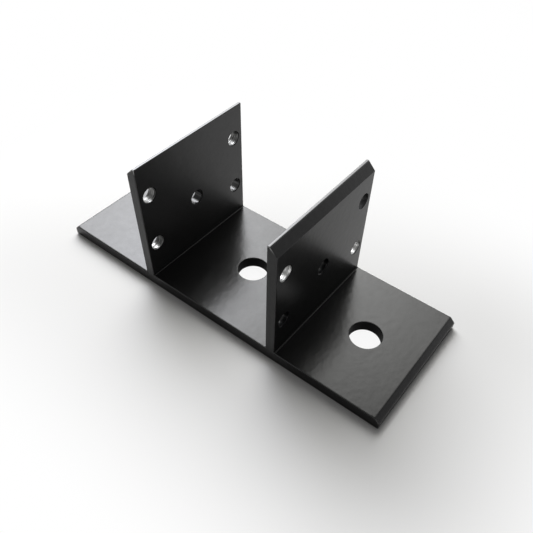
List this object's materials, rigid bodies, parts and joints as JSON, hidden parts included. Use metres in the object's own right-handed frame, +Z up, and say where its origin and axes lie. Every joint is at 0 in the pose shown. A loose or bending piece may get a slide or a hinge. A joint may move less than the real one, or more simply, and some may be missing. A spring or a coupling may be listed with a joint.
{
  "type": "post bracket",
  "caption": "U-shaped post bracket with a long bolt-down base and two drilled uprights that hold a square post between them, black coated extruded aluminium.",
  "frame": {"origin": "middle of the underside of the base", "axes": "+X along the base, from one foot to the other, +Y along the width of the base and of the uprights, +Z up through the uprights"},
  "size_m": [0.2444, 0.0888, 0.0889],
  "materials": {
    "black_coated_aluminium": "satin black coating over extruded aluminium, some drilled hole walls bare"
  },
  "bodies": {
    "root": {"bracket": "black_coated_aluminium"}
  },
  "joints": []
}
